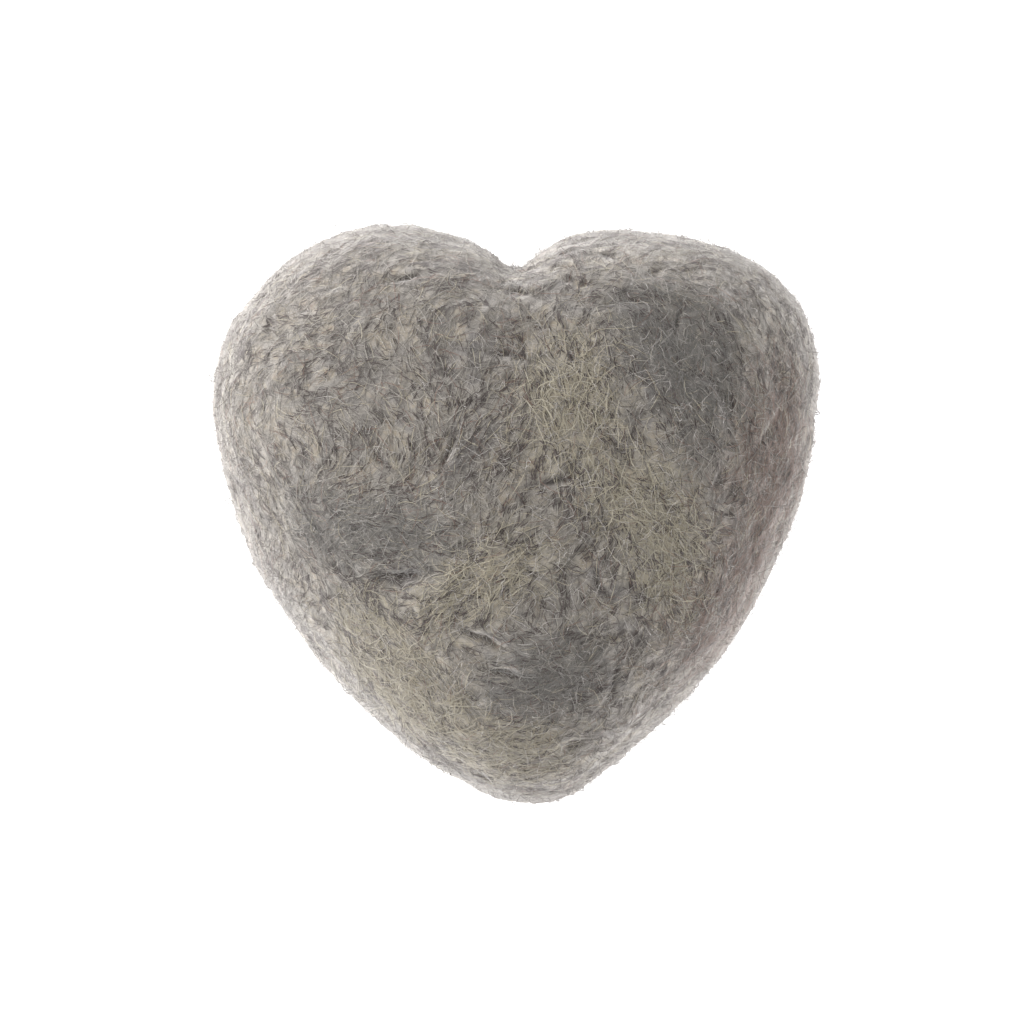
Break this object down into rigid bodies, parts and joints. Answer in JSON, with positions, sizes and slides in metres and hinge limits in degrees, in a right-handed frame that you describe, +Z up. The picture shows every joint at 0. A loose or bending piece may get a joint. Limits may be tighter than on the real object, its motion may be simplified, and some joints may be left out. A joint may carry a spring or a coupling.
{
  "type": "felted wool dryer ball",
  "caption": "Heart-shaped dryer ball of solid grey marl wool felt, puffed on both faces, with a soft cleft, a rounded tip and a small flat resting place on the back.",
  "frame": {"origin": "on the floor under the middle of the heart's outline, with the heart lying on its back", "axes": "+Z up through the front face, +Y from the tip towards the two lobes, +X across the lobes"},
  "size_m": [0.074, 0.0704, 0.0451],
  "materials": {
    "core_wool": "coarse undyed wool, loosely needled",
    "batt_wool": "combed undyed wool, half felted",
    "coat_wool": "matted grey marl wool felt with a short fuzz",
    "cream_wool": "cream wool, felted in",
    "charcoal_wool": "dark grey wool, felted in",
    "brown_wool": "warm brown wool, felted in"
  },
  "bodies": {
    "root": {"core_left_lobe": "core_wool", "core_tip": "core_wool", "core_right_lobe": "core_wool", "inner_batt_front": "batt_wool", "inner_batt_back": "batt_wool", "outer_batt_front": "batt_wool", "outer_batt_back": "batt_wool", "coat_front": "coat_wool", "coat_back": "coat_wool", "cream_lock_1": "cream_wool", "cream_lock_2": "cream_wool", "cream_lock_3": "cream_wool", "cream_lock_4": "cream_wool", "cream_lock_5": "cream_wool", "charcoal_lock_1": "charcoal_wool", "charcoal_lock_2": "charcoal_wool", "charcoal_lock_3": "charcoal_wool", "brown_lock_1": "brown_wool", "brown_lock_2": "brown_wool"}
  },
  "joints": []
}
